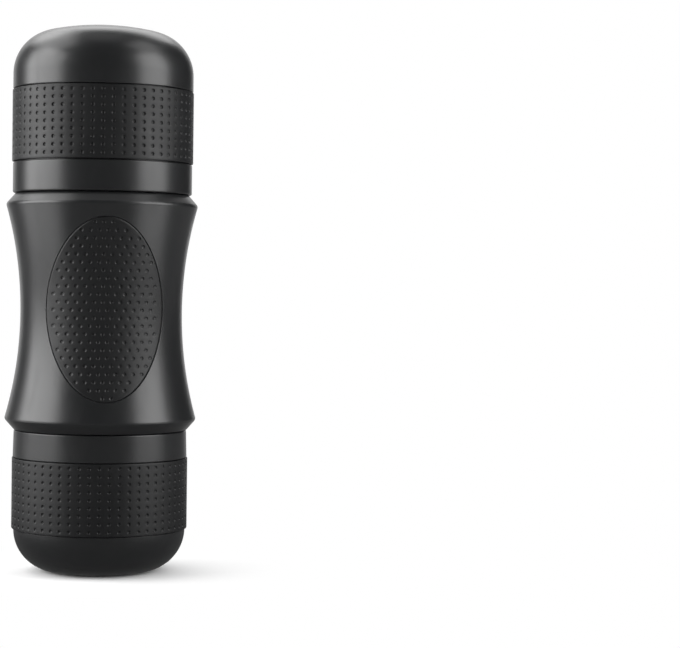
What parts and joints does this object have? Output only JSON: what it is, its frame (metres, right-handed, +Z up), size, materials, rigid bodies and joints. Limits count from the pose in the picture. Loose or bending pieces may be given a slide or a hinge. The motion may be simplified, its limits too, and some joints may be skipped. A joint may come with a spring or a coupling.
{
  "type": "portable coffee maker",
  "caption": "Hand-pumped pocket espresso maker: domed water tank, waisted body with a slanted slide-out piston, outlet head inside a screw-on cup.",
  "frame": {"origin": "centre of the flat base of the cup, on the surface the object stands on", "axes": "+Z up along the body to the top of the tank, -Y the side with the oval grip pad, +Y the side where the slanted piston comes out"},
  "size_m": [0.0608, 0.0693, 0.174],
  "materials": {
    "housing": "satin moulded",
    "grip": "matt soft-touch, dimpled",
    "gloss_black": "polished",
    "inner_black": "moulded",
    "pump_white": "moulded, natural",
    "bearing_grey": "self-lubricating",
    "steel": "stainless",
    "silicone_grey": "silicone",
    "silicone_black": "silicone"
  },
  "bodies": {
    "cup": {"cup_shell": "housing", "cup_grip_band": "grip"},
    "cup_turning_seal": {"cup_seal": "silicone_black"},
    "outlet": {"outlet_head": "housing", "outlet_spout": "inner_black"},
    "basket": {"filter_basket": "steel", "filter_disc": "steel"},
    "outlet_turning_seal": {"outlet_seal": "silicone_black"},
    "main_body": {"body_shell": "housing", "grip_pad": "grip", "brew_group": "inner_black", "shower_screen": "steel", "screen_screw": "steel", "group_gasket": "silicone_grey", "outlet_valve_spring": "steel", "pressure_tube": "pump_white", "pump_cylinder": "pump_white", "cylinder_clip": "steel", "suction_tube": "pump_white", "inlet_valve_body": "pump_white", "inlet_valve_spring": "steel", "tank_coupling": "inner_black", "coupling_screws": "steel", "intake_strainer": "steel", "vent_valve": "silicone_grey", "sleeve_bushing": "bearing_grey", "return_spring": "steel"},
    "inlet_ball": {"inlet_valve_ball": "steel"},
    "outlet_ball": {"outlet_valve_ball": "steel"},
    "sleeve": {"piston_sleeve": "housing", "stem_guide": "bearing_grey"},
    "plunger": {"plunger_rod": "steel", "plunger_seal": "silicone_grey", "head_screw": "steel"},
    "piston": {"piston_stem": "gloss_black", "piston_head": "gloss_black", "head_cap": "gloss_black"},
    "tank_turning_seal": {"tank_seal": "silicone_black"},
    "tank": {"tank_shell": "housing", "tank_grip_band": "grip"}
  },
  "joints": [
    {"name": "cup_turn", "type": "hinge", "parent": "cup", "child": "cup_turning_seal", "pos_m": [0, 0, 0.04], "axis": [0, 0, 1], "range_deg": [0, 562.6]},
    {"name": "cup_lift", "type": "slide", "parent": "cup_turning_seal", "child": "outlet", "axis": [0, 0, 1], "range_m": [0, 0.05]},
    {"name": "basket_lift", "type": "slide", "parent": "outlet", "child": "basket", "axis": [0, 0, 1], "range_m": [0, 0.018]},
    {"name": "outlet_turn", "type": "hinge", "parent": "outlet", "child": "outlet_turning_seal", "pos_m": [0, 0, 0.042], "axis": [0, 0, 1], "range_deg": [0, 450.1]},
    {"name": "outlet_lift", "type": "slide", "parent": "outlet_turning_seal", "child": "main_body", "axis": [0, 0, 1], "range_m": [0, 0.04]},
    {"name": "inlet_ball_lift", "type": "slide", "parent": "main_body", "child": "inlet_ball", "axis": [0, 0, -1], "range_m": [0, 0.0008], "stiffness_N_per_m": 20, "springref_m": -0.001, "deforming": ["inlet_valve_spring"]},
    {"name": "outlet_ball_lift", "type": "slide", "parent": "main_body", "child": "outlet_ball", "axis": [0, 0, -1], "range_m": [0, 0.0008], "stiffness_N_per_m": 20, "springref_m": -0.001, "deforming": ["outlet_valve_spring"]},
    {"name": "sleeve_slide", "type": "slide", "parent": "main_body", "child": "sleeve", "axis": [0, 0.8387, 0.5446], "range_m": [0, 0.021], "deforming": ["return_spring"]},
    {"name": "piston_stroke", "type": "slide", "parent": "sleeve", "child": "plunger", "axis": [0, 0.8387, 0.5446], "range_m": [0, 0.022]},
    {"name": "lock_turn", "type": "hinge", "parent": "plunger", "child": "piston", "pos_m": [0, 0, 0.07381], "axis": [0, 0.8387, 0.5446], "range_deg": [0, 70]},
    {"name": "tank_turn", "type": "hinge", "parent": "main_body", "child": "tank_turning_seal", "pos_m": [0, 0, 0.122], "axis": [0, 0, 1], "range_deg": [0, 562.6]},
    {"name": "tank_lift", "type": "slide", "parent": "tank_turning_seal", "child": "tank", "axis": [0, 0, 1], "range_m": [0, 0.05]}
  ],
  "couplings": [
    {"joint": "cup_turn", "follows": "cup_lift", "rad_per_m": 196.35},
    {"joint": "outlet_turn", "follows": "outlet_lift", "rad_per_m": 196.35},
    {"joint": "basket_lift", "follows": "outlet_lift", "ratio": 0.45},
    {"joint": "tank_turn", "follows": "tank_lift", "rad_per_m": 196.35}
  ]
}
